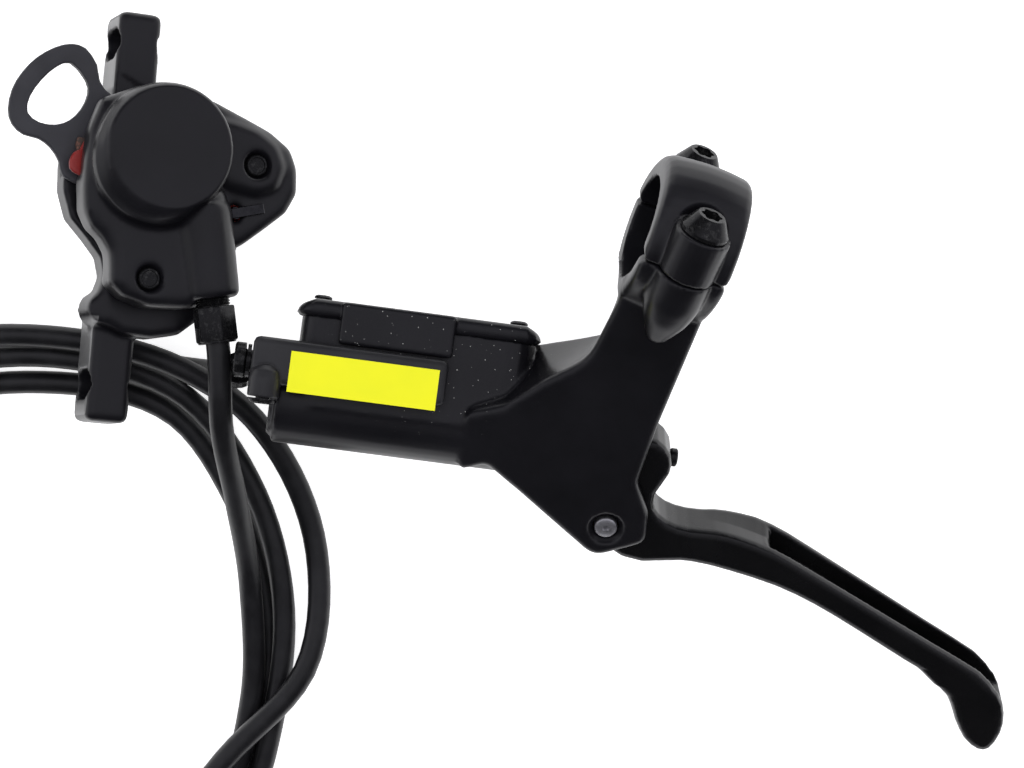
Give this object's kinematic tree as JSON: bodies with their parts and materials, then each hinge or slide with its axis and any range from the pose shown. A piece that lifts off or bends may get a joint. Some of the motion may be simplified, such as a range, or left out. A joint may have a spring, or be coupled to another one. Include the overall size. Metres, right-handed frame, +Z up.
{
  "type": "hydraulic disc brake",
  "caption": "Bicycle hydraulic disc brake lying flat: lever with master cylinder and bar clamp, coiled hose, and post-mount caliper with a transport spacer between its pads.",
  "frame": {"origin": "middle of the bench area under the lever and the caliper, at the bench's surface", "axes": "+X from the caliper towards the lever's tip, +Y towards the handlebar clamp, +Z up from the bench"},
  "size_m": [0.2926, 0.2111, 0.0706],
  "materials": {
    "black_casting": "satin black paint",
    "black_plastic": "matt",
    "black_steel": "black oxide",
    "bright_steel": "satin",
    "bare_aluminium": "machined",
    "brass": "turned",
    "rubber": "moulded",
    "hose_jacket": "satin",
    "red_plate": "powder coat",
    "pad_lining": "pressed compound"
  },
  "bodies": {
    "housing": {"lever_body": "black_casting", "reservoir_diaphragm": "rubber", "reservoir_cap": "black_casting", "cap_screw_left": "black_steel", "cap_screw_right": "black_steel", "switch_housing": "black_plastic", "switch_screw": "black_steel", "clamp_cap": "black_casting", "clamp_bolt_lower": "black_steel", "clamp_bolt_upper": "black_steel", "bore_retainer": "bright_steel", "return_spring": "bright_steel", "pivot_pin": "bright_steel", "caliper_outer_half": "black_casting", "caliper_inner_half": "black_casting", "caliper_hose_nut": "black_steel", "caliper_olive": "brass", "elbow_washer": "black_steel", "hose_elbow": "black_steel", "pad_pin": "bright_steel", "pad_spring": "bright_steel", "pad_spacer": "black_plastic", "bleed_screw": "black_steel", "body_bolt_upper": "black_steel", "body_bolt_lower": "black_steel", "hose": "hose_jacket"},
    "lever": {"lever_blade": "black_casting", "pivot_bush_lower": "brass", "pivot_bush_upper": "brass"},
    "piston": {"master_piston": "bare_aluminium", "primary_cup": "rubber", "secondary_cup": "rubber", "push_rod": "bright_steel"},
    "outer_pad": {"outer_piston": "bare_aluminium", "outer_piston_seal": "rubber", "outer_pad_plate": "red_plate", "outer_pad_lining": "pad_lining"},
    "inner_pad": {"inner_piston": "bare_aluminium", "inner_piston_seal": "rubber", "inner_pad_plate": "red_plate", "inner_pad_lining": "pad_lining"},
    "adjuster": {"reach_screw": "black_steel"}
  },
  "joints": [
    {"name": "lever_swing", "type": "hinge", "parent": "housing", "child": "lever", "pos_m": [0.018, -0.0238, 0.0255], "axis": [0, -0.342, 0.9397], "range_deg": [0, 20], "stiffness_Nm_per_rad": 1.5, "springref_deg": -5.73},
    {"name": "piston_slide", "type": "slide", "parent": "housing", "child": "piston", "axis": [-0.9887, 0.1412, 0.0514], "range_m": [0, 0.0052], "deforming": ["return_spring"]},
    {"name": "outer_piston_slide", "type": "slide", "parent": "housing", "child": "outer_pad", "axis": [-0.352, -0.1923, -0.916], "range_m": [0, 0.0004]},
    {"name": "inner_piston_slide", "type": "slide", "parent": "housing", "child": "inner_pad", "axis": [0.352, 0.1923, 0.916], "range_m": [0, 0.0004]},
    {"name": "reach_screw_turn", "type": "hinge", "parent": "lever", "child": "adjuster", "pos_m": [0.0271, -0.01132, 0.03004], "axis": [0.9887, -0.1412, -0.0514], "range_deg": [-180, 180]}
  ],
  "couplings": [
    {"joint": "piston_slide", "follows": "lever_swing", "m_per_rad": 0.0146},
    {"joint": "outer_piston_slide", "follows": "lever_swing", "m_per_rad": 0.001146},
    {"joint": "inner_piston_slide", "follows": "lever_swing", "m_per_rad": 0.001146}
  ]
}
